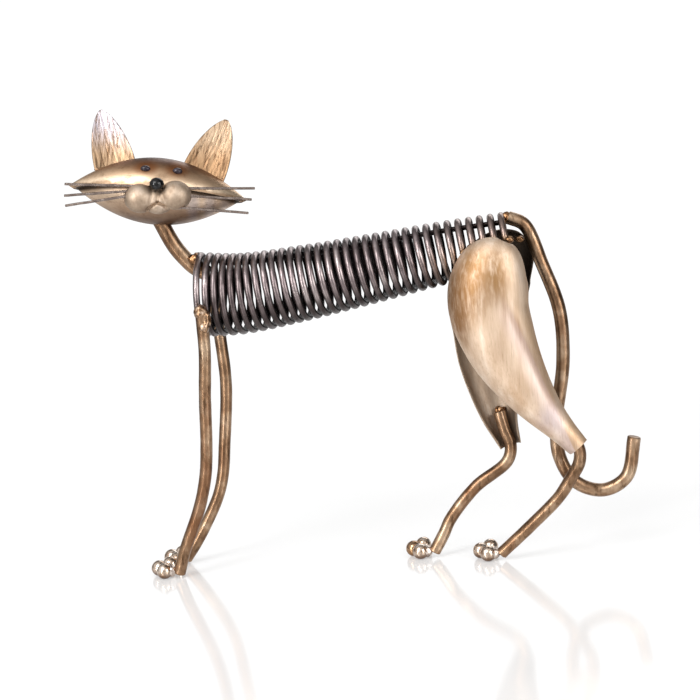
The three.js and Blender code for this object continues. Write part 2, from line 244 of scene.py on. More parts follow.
def melted(parts, voxel, rounds):
    """The parts run together in one skin, smoothed."""
    verts, faces = gather(parts)
    mesh = bpy.data.meshes.new("melted")
    mesh.from_pydata(verts, [], faces)
    obj = bpy.data.objects.new("melted", mesh)
    bpy.context.scene.collection.objects.link(obj)
    skin = obj.modifiers.new("skin", "REMESH")
    skin.mode = "VOXEL"
    skin.voxel_size = voxel
    smooth = obj.modifiers.new("smooth", "SMOOTH")
    smooth.iterations = rounds
    smooth.factor = 0.5
    done = obj.evaluated_get(bpy.context.evaluated_depsgraph_get()).to_mesh()
    verts = [v.co.copy() for v in done.vertices]
    normals = [v.normal.copy() for v in done.vertices]
    faces = [tuple(p.vertices) for p in done.polygons]
    bpy.data.objects.remove(obj)
    return verts, faces, normals


# A point of the head is rolled about Y, then pitched about X, then turned about Z, then moved.
POSE = (
    Matrix.Translation(HEAD_CENTRE)
    @ Matrix.Rotation(math.radians(HEAD_TURN), 4, "Z")
    @ Matrix.Rotation(math.radians(HEAD_PITCH), 4, "X")
    @ Matrix.Rotation(math.radians(HEAD_ROLL), 4, "Y")
)


class Nodes:
    """A material whose patterns are laid out in millimetres of the drawing frame or the head's."""

    def __init__(self, name, pose=None):
        self.mat = bpy.data.materials.new(name)
        self.mat.use_nodes = True
        self.tree = self.mat.node_tree
        self.shader = self.tree.nodes["Principled BSDF"]
        frame_pose = Matrix.Translation(SHIFT) @ (pose or Matrix.Identity(4))
        back = frame_pose.inverted()
        n = self.tree.nodes.new("ShaderNodeMapping")
        n.inputs["Scale"].default_value = (1 / MM, 1 / MM, 1 / MM)
        n.inputs["Rotation"].default_value = back.to_euler("XYZ")
        n.inputs["Location"].default_value = back.to_translation()
        self.link(self.tree.nodes.new("ShaderNodeTexCoord").outputs["Object"], n.inputs["Vector"])
        self.coord = n.outputs[0]

    def link(self, a, b):
        self.tree.links.new(a, b)

    def put(self, socket, value):
        if isinstance(value, bpy.types.NodeSocket):
            self.link(value, socket)
        else:
            socket.default_value = value

    def mapping(self, scale, rotation=(0, 0, 0)):
        n = self.tree.nodes.new("ShaderNodeMapping")
        n.inputs["Scale"].default_value = scale
        n.inputs["Rotation"].default_value = rotation
        self.link(self.coord, n.inputs["Vector"])
        return n.outputs[0]

    def noise(self, scale, detail=4, rough=0.55, vector=None, distort=0.0):
        n = self.tree.nodes.new("ShaderNodeTexNoise")
        n.inputs["Scale"].default_value = scale
        n.inputs["Detail"].default_value = detail
        n.inputs["Roughness"].default_value = rough
        n.inputs["Distortion"].default_value = distort
        self.link(vector or self.coord, n.inputs["Vector"])
        return n.outputs["Fac"]

    def ramp(self, value, stops):
        n = self.tree.nodes.new("ShaderNodeValToRGB")
        items = n.color_ramp.elements
        items[0].position, items[0].color = stops[0][0], shade(stops[0][1])
        items[1].position, items[1].color = stops[-1][0], shade(stops[-1][1])
        for at, colour in stops[1:-1]:
            items.new(at).color = shade(colour)
        self.link(value, n.inputs[0])
        return n.outputs[0]

    def mix(self, fac, a, b):
        n = self.tree.nodes.new("ShaderNodeMix")
        n.data_type = "RGBA"
        self.put(n.inputs[0], fac)
        self.put(n.inputs[6], a if isinstance(a, bpy.types.NodeSocket) else shade(a))
        self.put(n.inputs[7], b if isinstance(b, bpy.types.NodeSocket) else shade(b))
        return n.outputs[2]

    def math(self, kind, a, b=0.5):
        n = self.tree.nodes.new("ShaderNodeMath")
        n.operation = kind
        self.put(n.inputs[0], a)
        self.put(n.inputs[1], b)
        return n.outputs[0]

    def map_range(self, value, limits):
        n = self.tree.nodes.new("ShaderNodeMapRange")
        self.link(value, n.inputs[0])
        for socket, number in enumerate(limits, 1):
            n.inputs[socket].default_value = number
        return n

    def span(self, value, a, b, to_a=0.0, to_b=1.0):
        """Eased from to_a at a to to_b at b, and held beyond them."""
        n = self.map_range(value, (a, b, to_a, to_b))
        n.interpolation_type = "SMOOTHSTEP"
        return n.outputs[0]

    def slope(self, value, a, b, to_a, to_b):
        """Straight from to_a at a to to_b at b, and on beyond them."""
        n = self.map_range(value, (a, b, to_a, to_b))
        n.clamp = False
        return n.outputs[0]

    def axis(self, index):
        n = self.tree.nodes.new("ShaderNodeSeparateXYZ")
        self.link(self.coord, n.inputs[0])
        return n.outputs[index]

    def near(self, centre, radius, soft, stretch=(1, 1, 1)):
        """1 near a point, falling to 0 beyond radius + soft."""
        n = self.tree.nodes.new("ShaderNodeVectorMath")
        n.operation = "SUBTRACT"
        self.link(self.coord, n.inputs[0])
        n.inputs[1].default_value = centre
        m = self.tree.nodes.new("ShaderNodeVectorMath")
        m.operation = "MULTIPLY"
        self.link(n.outputs[0], m.inputs[0])
        m.inputs[1].default_value = stretch
        d = self.tree.nodes.new("ShaderNodeVectorMath")
        d.operation = "LENGTH"
        self.link(m.outputs[0], d.inputs[0])
        return self.span(d.outputs["Value"], radius, radius + soft, 1.0, 0.0)

    def both(self, a, b):
        return self.math("MULTIPLY", a, b)

    def bump(self, height, strength, distance, under=None):
        n = self.tree.nodes.new("ShaderNodeBump")
        n.inputs["Strength"].default_value = strength
        n.inputs["Distance"].default_value = distance * MM
        self.link(height, n.inputs["Height"])
        if under is not None:
            self.link(under, n.inputs["Normal"])
        return n.outputs[0]

    def finish(self, colour, rough, metallic=1.0, normal=None):
        s = self.shader.inputs
        self.put(s["Base Color"], colour)
        self.put(s["Roughness"], rough)
        s["Metallic"].default_value = metallic
        if normal is not None:
            self.link(normal, s["Normal"])
        return self.mat


def shade(rgb):
    """Linear colour of an ordinary 0-255 colour."""
    return tuple(((c / 255 + 0.055) / 1.055) ** 2.4 if c > 10 else c / 255 / 12.92 for c in rgb) + (1.0,)


def rod_metal():
    n = Nodes("antique_brass_rod")
    wide = n.noise(0.09, 5, 0.6)
    streak = n.noise(0.06, 4, 0.6, n.mapping((1, 1, 0.18)), 0.4)
    base = n.ramp(wide, [(0.32, (104, 78, 58)), (0.5, (146, 116, 90)), (0.68, (186, 160, 134))])
    warm = n.mix(n.span(streak, 0.48, 0.7, 0, 0.8), base, (118, 78, 52))
    stain = n.noise(0.3, 5, 0.65, n.mapping((1.6, 1.6, 0.25)))
    dark = n.mix(n.span(stain, 0.5, 0.7, 0, 0.75), warm, (66, 46, 30))
    rough = n.span(n.noise(0.15, 3, 0.6), 0.3, 0.75, 0.3, 0.4)
    return n.finish(dark, rough, 1.0, n.bump(n.noise(1.0, 3, 0.6, n.mapping((0.8, 0.8, 0.08))), 0.03, 0.1))


def wire_metal():
    """Dark wire, brassy low at the rump, darker below the body's axis as painted shade, with its inner
    side left near black as painted shade.
    """
    n = Nodes("gunmetal_wire")
    x, y, z = n.axis(0), n.axis(1), n.axis(2)
    first, last = BODY_AXIS[0][0], BODY_AXIS[-1][0]
    share = n.slope(x, first, last, 0, 1)
    # A ramp holds the height of the body's axis at each x, as a share from low to high.
    low, high = 130.0, 160.0
    heights = n.tree.nodes.new("ShaderNodeValToRGB")
    items = heights.color_ramp.elements
    stops = [((ax - first) / (last - first), (az - low) / (high - low)) for ax, az in BODY_AXIS]
    items[0].position, items[1].position = 0.0, 1.0
    for item, (_, level) in zip(items, (stops[0], stops[-1])):
        item.color = (level, level, level, 1)
    for at, level in stops[1:-1]:
        items.new(at).color = (level, level, level, 1)
    n.link(share, heights.inputs[0])
    axis_z = n.slope(heights.outputs[0], 0, 1, low, high)
    rise = n.math("SUBTRACT", z, axis_z)
    reach = n.math("SQRT", n.math("ADD", n.both(rise, rise), n.both(y, y)))
    middle = n.slope(share, 0, 1, CHEST / 2 - WIRE / 2, RUMP / 2 - WIRE / 2)
    # The inner side, nearer the axis than the wire's middle, gets painted shade.
    inner = n.span(n.math("SUBTRACT", reach, middle), -0.9, 0.5, 1, 0)
    base = n.ramp(n.noise(0.07, 5, 0.6), [
        (0.3, (88, 78, 78)), (0.52, (134, 122, 122)), (0.72, (182, 170, 168)),
    ])
    rear = n.both(n.span(x, 30, 74), n.span(rise, -2, 7, 0.9, 0.2))
    warm = n.mix(rear, base, (150, 116, 78))
    dark = n.mix(n.span(n.noise(0.26, 6, 0.7), 0.54, 0.72, 0, 0.55), warm, (44, 36, 36))
    # Painted shade darkens the wire below the body's axis.
    under = n.mix(n.span(rise, -15, 4, 0.8, 0), dark, (40, 32, 30))
    # Painted shade: the inner side is left near black.
    inner_shaded = n.mix(n.both(inner, 0.93), under, (16, 13, 13))
    rough = n.span(n.noise(0.5, 3, 0.6), 0.3, 0.75, 0.27, 0.38)
    return n.finish(inner_shaded, rough, 1.0, n.bump(n.noise(0.5, 3, 0.6), 0.03, 0.12))


def haunch_metal():
    """Pale brushed sheet with brown patches, a painted fold of painted light and shade, and its inner side
    darkened as painted shade.
    """
    n = Nodes("champagne_sheet")
    tilt = (0, math.radians(-12), 0)
    scratch = n.noise(1.0, 6, 0.65, n.mapping((1.5, 1.5, 0.06), tilt))
    broad = n.noise(1.0, 5, 0.6, n.mapping((0.2, 0.2, 0.022), tilt))
    base = n.ramp(broad, [(0.3, (196, 168, 142)), (0.5, (216, 192, 168)), (0.7, (234, 216, 198))])
    cloud = n.noise(1.0, 5, 0.6, n.mapping((0.5, 0.5, 0.1), tilt))
    patches = (
        ((63.5, -25, 138), 4, 9, (1, 1, 0.45), (160, 122, 82), 0.95),
        ((74.5, -25, 139.5), 2, 7, (1, 1, 0.45), (150, 114, 74), 0.95),
        ((54.5, -21, 126), 4, 8, (1, 1, 0.45), (142, 102, 64), 0.9),
        ((95.1, -18, 71), 2, 9, (1, 1, 1), (190, 180, 188), 0.5),
        ((84, -22, 84), 1, 12, (1, 1, 1), (176, 140, 104), 0.4),
        ((104, -15, 58), 2, 8, (1, 1, 1), (150, 114, 84), 0.5),
    )
    for centre, radius, soft, stretch, colour, amount in patches:
        spot = n.both(n.near(centre, radius, soft, stretch), n.span(cloud, 0.3, 0.6, 0.35, amount))
        base = n.mix(spot, base, colour)
    # The fold runs down the sheet as a straight line of the side view. It is painted: painted light tints
    # the sheet on either side of it, and painted shade darkens its line.
    (top_x, top_z), (foot_x, foot_z) = (78.1, 128.5), (99.2, 69.3)
    run_down = n.slope(n.axis(2), top_z, foot_z, top_x, foot_x)
    beside = n.math("SUBTRACT", n.axis(0), run_down)
    off = n.math("ABSOLUTE", beside)
    low = n.span(n.axis(2), 112, 134, 1, 0)
    base = n.mix(n.both(n.both(n.span(beside, 0, 4), low), 0.5), base, (206, 172, 136))
    ahead = n.both(n.span(beside, -9, -1), n.span(beside, 0, 1, 1, 0))
    base = n.mix(n.both(ahead, n.both(low, 0.5)), base, (206, 190, 190))
    # Painted shade along the fold's line.
    fold = n.both(n.span(off, 0.3, 3.0, 0.5, 0), n.span(n.axis(2), 66, 82))
    fold_shaded = n.mix(n.both(fold, n.span(n.axis(2), 118, 132, 1, 0)), base, (140, 104, 80))
    lines = n.mix(n.span(scratch, 0.52, 0.72, 0, 0.3), fold_shaded, (150, 122, 96))
    # The inner side is where the surface faces the middle of the cat, and it is darkened there as painted
    # shade.
    faces = n.tree.nodes.new("ShaderNodeSeparateXYZ")
    n.link(n.tree.nodes.new("ShaderNodeTexCoord").outputs["Normal"], faces.inputs[0])
    hidden = n.span(n.both(faces.outputs[1], n.axis(1)), -3.0, 0.5, 1, 0)
    inner = n.mix(n.both(hidden, n.span(n.axis(2), 100, 128, 0.5, 0.95)), lines, (34, 26, 22))
    rough = n.span(scratch, 0.25, 0.75, 0.48, 0.62)
    wavy = n.bump(n.noise(0.12, 3), 0.05, 0.6)
    return n.finish(inner, rough, 1.0, n.bump(scratch, 0.24, 0.2, wavy))


def head_metal():
    """Colour in bands of height along the almond: painted shade toward its top and bottom, and a painted
    highlight in a pale band over the seam.
    """
    n = Nodes("bronze_head", POSE)
    brush = n.noise(1.0, 6, 0.65, n.mapping((0.25, 0.9, 1.5)))
    cloud = n.noise(0.1, 5, 0.6)
    drift = n.slope(cloud, 0, 1, -3.2, 3.2)
    level = n.slope(n.math("ADD", n.axis(2), drift), -HEAD_DOWN, HEAD_UP, 0, 1)
    # The bands are painted light and shade: darker toward the top and bottom, and pale as a painted
    # highlight just over the seam.
    base = n.ramp(level, [
        (0.0, (102, 80, 66)), (0.14, (156, 130, 108)), (0.32, (202, 178, 154)), (0.475, (166, 138, 112)),
        (0.52, (228, 204, 176)), (0.6, (206, 176, 146)), (0.74, (170, 136, 106)), (0.88, (110, 78, 60)),
        (1.0, (58, 40, 40)),
    ])
    # Pale bands of painted reflection stand under the seam beside the muzzle, and a brown halo around each
    # eye.
    for x in (17.5, 25.5, 33.0):
        band = n.near((x, -HEAD_HALF_DEPTH, -6.5), 1, 3.4, (1, 0.12, 0.4))
        pale = n.both(band, n.span(n.axis(2), -1.5, -3.0))
        base = n.mix(n.both(pale, 0.4), base, (172, 168, 176))
    for x in (8.9, -6.2):
        halo = n.near((x, -18, 9.4), 2.2, 4.4, (0.8, 0.5, 1))
        base = n.mix(n.both(halo, 0.8), base, (132, 78, 38))
    # Painted shadow: a dark line under the seam's overhanging edge.
    under_seam = n.both(n.span(n.axis(2), -3.2, -1.7), n.span(n.axis(2), -0.9, -0.7, 1, 0))
    seam_shadowed = n.mix(n.both(under_seam, 0.92), base, (26, 17, 14))
    brown = n.mix(n.span(n.noise(0.17, 6, 0.7), 0.52, 0.72, 0, 0.5), seam_shadowed, (92, 62, 40))
    lines = n.mix(n.span(brush, 0.5, 0.75, 0, 0.25), brown, (88, 62, 40))
    rough = n.span(brush, 0.25, 0.75, 0.36, 0.5)
    return n.finish(lines, rough, 1.0, n.bump(brush, 0.22, 0.2, n.bump(n.noise(0.16, 3), 0.1, 0.9)))


def ear_metal(name, light, low):
    n = Nodes(name, POSE)
    streak = n.noise(1.0, 5, 0.6, n.mapping((1.0, 0.5, 0.09)))
    tone = n.mix(n.span(n.math("ADD", n.axis(2), n.slope(streak, 0, 1, -6, 6)), 16, 34), low, light)
    base = n.mix(n.span(streak, 0.38, 0.56, 0.75, 0), tone, (112, 84, 62))
    cloud = n.mix(n.span(n.noise(0.14, 5, 0.6), 0.52, 0.74, 0, 0.3), base, (140, 104, 70))
    rough = n.span(streak, 0.3, 0.7, 0.4, 0.56)
    return n.finish(cloud, rough, 1.0, n.bump(streak, 0.3, 0.3))


def muzzle_metal():
    n = Nodes("pale_muzzle", POSE)
    brush = n.noise(1.0, 5, 0.6, n.mapping((1.1, 0.9, 0.3)))
    base = n.ramp(n.noise(0.12, 5, 0.6), [
        (0.3, (138, 118, 100)), (0.5, (174, 154, 134)), (0.7, (200, 182, 164)),
    ])
    low = n.mix(n.span(n.axis(2), -16, -9, 0.6, 0), base, (128, 106, 88))
    lines = n.mix(n.span(brush, 0.5, 0.74, 0, 0.3), low, (136, 112, 90))
    return n.finish(lines, n.span(brush, 0.3, 0.7, 0.5, 0.62), 1.0, n.bump(brush, 0.2, 0.2))


def ball_metal():
    n = Nodes("silvery_brass_ball")
    cloud = n.noise(0.26, 4, 0.6)
    base = n.ramp(cloud, [(0.32, (146, 118, 96)), (0.5, (200, 180, 162)), (0.68, (236, 224, 214))])
    low = n.mix(n.span(n.axis(2), 1.0, 4.2, 0.85, 0), base, (96, 66, 44))
    brown = n.mix(n.span(n.noise(0.42, 5, 0.7), 0.56, 0.74, 0, 0.45), low, (120, 84, 56))
    # One hind foot kept its brown skin.
    brown = n.mix(n.both(n.near((18, 13, 4), 7, 4), 0.75), brown, (150, 112, 74))
    return n.finish(brown, n.span(cloud, 0.3, 0.7, 0.12, 0.24), 1.0, n.bump(n.noise(0.9, 3), 0.08, 0.2))


def weld_metal(name, dark, middle, light):
    n = Nodes(name)
    cloud = n.noise(0.42, 5, 0.65)
    base = n.ramp(cloud, [(0.3, dark), (0.5, middle), (0.7, light)])
    return n.finish(base, n.span(cloud, 0.3, 0.7, 0.2, 0.4), 1.0, n.bump(n.noise(0.7, 4), 0.3, 0.4))


def whisker_metal():
    n = Nodes("grey_whisker_wire", POSE)
    base = n.ramp(n.noise(0.3, 4, 0.6), [
        (0.3, (112, 98, 92)), (0.5, (136, 122, 114)), (0.7, (164, 150, 142)),
    ])
    rough = n.span(n.noise(0.9, 3), 0.3, 0.7, 0.22, 0.36)
    return n.finish(base, rough, 1.0, n.bump(n.noise(1.6, 3), 0.12, 0.12))


def bead_gloss(name, colour, other):
    """Glossy enamel in two close tones."""
    n = Nodes(name)
    base = n.mix(n.span(n.noise(0.5, 4, 0.6), 0.4, 0.65), colour, other)
    n.shader.inputs["Specular IOR Level"].default_value = 0.35
    return n.finish(base, n.span(n.noise(0.6, 4, 0.6), 0.3, 0.7, 0.1, 0.18), 0.0)


ROD, COIL, GOLD, HEAD_M = rod_metal(), wire_metal(), haunch_metal(), head_metal()
EAR_M = {
    "left": ear_metal("golden_ear", (190, 166, 140), (164, 132, 100)),
    "right": ear_metal("lavender_ear", (202, 194, 200), (190, 160, 128)),
}
PALE, BALL, FINE = muzzle_metal(), ball_metal(), whisker_metal()
WELD = weld_metal("bright_weld", (128, 112, 104), (192, 178, 168), (232, 224, 216))
TAN_WELD = weld_metal("tan_weld", (92, 66, 46), (146, 116, 90), (204, 182, 162))
BROWN_WELD = weld_metal("brown_weld", (74, 50, 34), (132, 96, 66), (196, 160, 124))
NOSE_M = bead_gloss("black_nose", (3, 3, 4), (8, 8, 9))
EYE_M = bead_gloss("violet_eye", (32, 25, 31), (54, 44, 52))

# Spring body.
body_axis = route(BODY_AXIS)
start_turn, end_turn = -STEPS_BEFORE_TOP / STEPS_A_TURN, TURNS + STEPS_AFTER_TOP / STEPS_A_TURN
COIL_STEPS_A_TURN = 44


def run(turn):
    """How far along a turn lies, in first spaces: each space is a little wider than the last."""
    return turn + (SPACE_GROWTH - 1) * turn * turn / (2 * TURNS)


def body_share(turn):
    return (run(turn) - run(start_turn)) / (run(end_turn) - run(start_turn))


def body_radius(share):
    return (CHEST - (CHEST - RUMP) * share) / 2


def around_body(share, radius, angle):
    """A point beside the body's axis, at an angle from its top."""
    along = body_axis.tangent(share)
    top = vec(-along.z, 0, along.x)
    q = body_axis.spaced(share) + top * (radius * math.cos(angle))
    q.y -= radius * math.sin(angle)
    return q


steps = COIL_STEPS_A_TURN * (TURNS + 1)
coil = []
for i in range(steps + 1):
    turn = start_turn + (end_turn - start_turn) * i / steps
    share = body_share(turn)
    q = around_body(share, body_radius(share) - WIRE / 2, 2 * math.pi * turn)
    q.x += 0.2 * noise.noise(vec(turn * 0.9, 3.1, 0)) * math.sin(math.pi * i / steps)
    coil.append(q)
verts, faces = tube(coil, [WIRE / 2] * len(coil), 12)
make("spring_wire", verts, faces, COIL, "body_spring")

spine_points = []
for i in range(SPINE_POINTS):
    share = SPINE_START_SHARE + (SPINE_END_SHARE - SPINE_START_SHARE) * i / (SPINE_POINTS - 1)
    spine_points.append(around_body(share, body_radius(share) - WIRE - GAP - SPINE / 2, 0))
spine = Curve(spine_points)
rod("spine_wire", spine, SPINE, 80, COIL, "spine_rod", 14)

# Neck and tail.
neck = route([
    (-65.5, 147), (-69.2, 148.6), (-72.9, 151.2), (-77.1, 155.9), (-81.1, 161.6),
    (-86, 171.9), (-88.3, 177.5),
])
rod("neck_bar", neck, NECK, 60, ROD, "neck_rod", 28, 0.02, 4.0)

tail = route([
    (80.0, 164.4), (87.6, 160.4), (94.6, 141.7), (101.3, 119), (101.4, 94), (96.6, 67),
    (96.6, 48.5), (103.9, 35.3), (116.5, 31), (127.7, 36.8), (132.7, 56),
])
rod("tail_bar", tail, TAIL, 200, ROD, "tail_rod", 24, 0.02, 9.0)

# Haunches.
HAUNCH_HALF_WIDTH, HAUNCH_CROWN, FIRST_ROW, ROW_EASE, RIM_ANGLE = 18.8, 12.0, 0.004, 1.4, math.radians(75)
TIP_HALF = LEG / 2 + SHEET / 2 + 5 * GAP
TIP_CROWN = LEG / 2 + SHEET / 2 + 3 * GAP
TOP_RIM = RUMP / 2 + SHEET / 2 + 6 * GAP


class Haunch:
    """A cupped shell about a line of the side view, standing out from its rim to its crown."""

    def __init__(self, side, line, widest, taper, tip_rim):
        self.side, self.line = side, route(line)
        self.widest, self.taper, self.tip_rim = widest, taper, tip_rim

    def swell(self, v, most, tip):
        if v < self.widest:
            return most * math.sqrt(max(1 - (1 - v / self.widest) ** 2, 0))
        beyond = (v - self.widest) / (1 - self.widest)
        return tip + (most - tip) * max(1 - beyond ** 2, 0) ** self.taper

    def rim(self, v):
        return TOP_RIM + (self.tip_rim - TOP_RIM) * v

    def crown(self, v):
        return self.swell(v, HAUNCH_CROWN, TIP_CROWN)

    def surface(self, p, row):
        v = FIRST_ROW + (1 - FIRST_ROW) * row ** ROW_EASE
        along = self.line.tangent(v)
        out = vec(-along.z, 0, along.x)
        half = self.swell(v, HAUNCH_HALF_WIDTH, TIP_HALF)
        across = half * math.sin(p * RIM_ANGLE) / math.sin(RIM_ANGLE)
        hump = (math.cos(p * RIM_ANGLE) - math.cos(RIM_ANGLE)) / (1 - math.cos(RIM_ANGLE))
        q = self.line.spaced(v) + out * across
        dent = 0.3 * noise.noise(vec(q.x * 0.07, self.side * 5, q.z * 0.05)) * min(hump * 2, 1)
        q.y = self.side * (self.rim(v) + self.crown(v) * hump + dent)
        return q


HAUNCHES = {
    "left": Haunch(-1, [
        (79.2, 155.3), (71.8, 140), (69.3, 126), (72.5, 110.5), (78.4, 95.6), (89.4, 76.8), (106.7, 54.9),
    ], 0.24, 1.78, 12.7),
    "right": Haunch(1, [
        (86.5, 152.8), (73.5, 140), (66.6, 126), (66.5, 110), (65.8, 94), (68, 68), (72.6, 52),
    ], 0.3, 1.38, 13.3),
}
for key, shape in HAUNCHES.items():
    verts, faces = sheet(shape.surface, 40, 110, SHEET)
    make("haunch_shell_" + key, verts, faces, GOLD, "haunch_" + key)

# Legs and feet.
TOE, TOE_FLAT, TOE_FAN = 7.8, 2.4, math.radians(30)
# The shares of the haunch's line beside which a hind leg lies against the shell.
LEG_CHANNEL_SHARES = (0.84, 0.92, 1.0)
# Half sizes of the weld drops between a leg and a ball, and between two balls.
LEG_DROP, BALL_DROP, DROP_HEIGHT = 2.8, 1.5, 3.5


def front_leg(side, aside, points):
    foot = aside * TOE
    rate = (side * (CHEST / 2 + GAP + LEG / 2) - foot) / BODY_AXIS[0][1]
    return route(points, lambda z: foot + rate * z)


def hind_leg(shape, aside, points):
    foot = aside * TOE
    top = []
    for v in LEG_CHANNEL_SHARES:
        q = shape.line.spaced(v)
        q.y = shape.side * (shape.rim(v) + shape.crown(v) - SHEET / 2 - 2 * GAP - LEG / 2)
        top.append(q)
    rate = (top[2].y - foot) / top[2].z
    return Curve(top + [vec(x, foot + rate * z, z) for x, z in points])


# Each leg: its curve, which toe stands straight ahead of it, and how far its end leans over the balls.
LEGS = {
    "front_left": (front_leg(-1, -1.09, [
        (-66, 132.6), (-66.4, 113), (-69, 88.7), (-70.9, 65.9), (-73.1, 50.8),
        (-77.6, 35.6), (-82.9, 23.6), (-87.9, 12.6), (-91.6, 1.9),
    ]), 0.2, 0.0),
    "front_right": (front_leg(1, 2.48, [
        (-69, 132.6), (-67.4, 112), (-66.5, 89), (-69.7, 59.1),
        (-71.8, 44.1), (-75.4, 32.6), (-86.9, 12.1), (-94, 2.2),
    ]), 1.0, 0.0),
    "hind_left": (hind_leg(HAUNCHES["left"], -0.385, [
        (106.6, 47.7), (101.8, 39.4), (95.7, 30.6), (81.5, 17), (65.8, 3.1),
    ]), 0.2, 0.8),
    "hind_right": (hind_leg(HAUNCHES["right"], 0.9, [
        (70.4, 44.8), (54.3, 33.2), (41.2, 18.4), (37.4, 11.3), (32.2, 2.7),
    ]), 0.2, 0.5),
}


def toe_places(end, ahead, tuck):
    """Where the three balls stand before a leg's end, the middle one leading."""
    spread, lead = (TOE + GAP) * math.cos(TOE_FAN), (TOE + GAP) * math.sin(TOE_FAN)
    clear = (LEG + TOE) / 2 + GAP
    beside = ahead * spread
    reaches = [math.sqrt(max(clear ** 2 - s ** 2, 0)) for s in (beside, spread - beside)]
    x = end.x - max(reaches[0], reaches[1] - lead) + tuck
    y = end.y - beside + spread
    return [(x, y - spread), (x - lead, y), (x, y + spread)]


def toe(x, y):
    """A ball with a small flat to stand on."""
    r = TOE / 2
    centre = math.sqrt(r * r - (TOE_FLAT / 2) ** 2)
    verts, faces = blob((x, y, centre), (r, r, r), 0, 0.0)
    return [vec(q.x, q.y, max(q.z, 0.0)) for q in verts], faces


welds = []
for number, (key, (curve, ahead, tuck)) in enumerate(LEGS.items()):
    rod("leg_bar_" + key, curve, LEG, 130, ROD, "leg_" + key, 22, 0.03, number * 2.3)
    end = curve.spaced(1)
    places = toe_places(end, ahead, tuck)
    for i, (tx, ty) in enumerate(places, 1):
        verts, faces = toe(tx, ty)
        make(f"toe_ball_{key}_{i}", verts, faces, BALL, f"toe_{key}_{i}")
    parts = []
    gaps = [((end.x, end.y), place, LEG_DROP) for place in places]
    gaps += [(*places[:2], BALL_DROP), (*places[1:], BALL_DROP)]
    for (ax, ay), (bx, by), size in gaps:
        if math.hypot(bx - ax, by - ay) < LEG + TOE:
            spot = ((ax + bx) / 2, (ay + by) / 2, DROP_HEIGHT)
            parts.append(blob(spot, (size, size, size), len(parts) + number, 0.2))
    welds.append(("foot_weld_" + key, parts, WELD))

# Head.


def head_point(t, angle, upper):
    """A point of the almond's upper or lower shell; the lower one is smaller by the seam's overhang."""
    narrow = max(1 - t * t, 0.0)
    depth = HEAD_HALF_DEPTH - (0 if upper else SEAM_OVERHANG)
    length = HEAD_HALF_LENGTH - (0 if upper else 2 * SEAM_OVERHANG)
    height = HEAD_UP if upper else HEAD_DOWN
    q = vec(t * length, depth * narrow * math.cos(angle), height * narrow * math.sin(angle))
    q.y *= 1 + 0.012 * noise.noise(q * 0.11) * min(8 * narrow, 1)
    return q


def head_mesh():
    """The upper shell, its edge standing out over the lower one, in rings from tip to tip."""
    verts, faces = [], []
    nt, na = 110, 34
    for i in range(nt + 1):
        t = -math.cos(math.pi * i / nt)
        edge = SEAM_EDGE * min(1.0, (1 - t * t) * 9)
        ring = [head_point(t, math.pi * k / na, True) for k in range(na + 1)]
        ring.append(ring[-1] - vec(0, 0, edge))
        for k in range(na, -1, -1):
            q = head_point(t, -math.pi * k / na, False)
            ring.append(vec(q.x, q.y, min(q.z, -edge)))
        ring.append(ring[0] - vec(0, 0, edge))
        verts += ring
    m = len(ring)
    for i in range(nt):
        for k in range(m):
            a, b = i * m + k, i * m + (k + 1) % m
            faces.append((a, b, b + m, a + m))
    faces.append(tuple(reversed(range(m))))
    faces.append(tuple(range(nt * m, (nt + 1) * m)))
    return verts, faces


verts, faces = head_mesh()
make("head_shells", verts, faces, HEAD_M, "head", POSE)


def on_head(across_share, up_share, proud):
    """A place on the front of the head, by shares of its half length, standing out by proud."""
    across, up = across_share * HEAD_HALF_LENGTH, up_share * HEAD_HALF_LENGTH
    narrow = 1 - across_share ** 2
    height = narrow * (HEAD_UP if up > 0 else HEAD_DOWN)
    return vec(across, -narrow * HEAD_HALF_DEPTH * math.sqrt(1 - (up / height) ** 2) - proud, up)


# Ears.
EAR_HEIGHT, EAR_CUP, EAR_BACK, EAR_FOOT, EAR_FULLNESS, EAR_POINT = 28.2, 4.0, 3.0, 4.0, 1.7, 0.62


def ear_surface(side, half_width, spread, lean):
    """The cupped and streaked leaf of one ear, as a function of p and v."""
    angle = math.radians(lean) * side
    up, out = vec(math.sin(angle), 0, math.cos(angle)), vec(math.cos(angle), 0, -math.sin(angle))
    foot = vec(side * spread * HEAD_HALF_LENGTH, EAR_BACK, HEAD_UP * (1 - spread ** 2))

    def surface(p, v):
        rise = v * (EAR_HEIGHT + EAR_FOOT) - EAR_FOOT
        share = min(max(rise / EAR_HEIGHT, 0), 0.993)
        across = p * half_width * (1 - share ** EAR_FULLNESS) ** EAR_POINT
        q = foot + up * rise + out * across
        streak = noise.noise(vec(across * 0.9 + 7 * side, rise * 0.07, 2.0))
        streak += 0.6 * noise.noise(vec(across * 2.1, rise * 0.1, 8.0 + side))
        q.y += 0.3 * streak * min((1 - abs(p)) * 4, 1) - EAR_CUP * (across / half_width) ** 2
        return q

    return surface


EARS = {"left": ear_surface(1, 10.4, 0.5, 18), "right": ear_surface(-1, 9.9, 0.51, 19)}
for number, (key, surface) in enumerate(EARS.items()):
    verts, faces = sheet(surface, 44, 60, SHEET)
    make("ear_leaf_" + key, verts, faces, EAR_M[key], "ear_" + key, POSE)
    parts = []
    for i in range(7):
        q = surface(-0.85 + 1.7 * i / 6, 0.125)
        parts.append(blob((q.x, q.y - 0.4, q.z - 0.9), (1.5, 1.3, 0.8), i + 9 * number, 0.3, 2))
    verts, faces = gather(parts)
    make("ear_weld_" + key, verts, faces, HEAD_M, None, POSE)

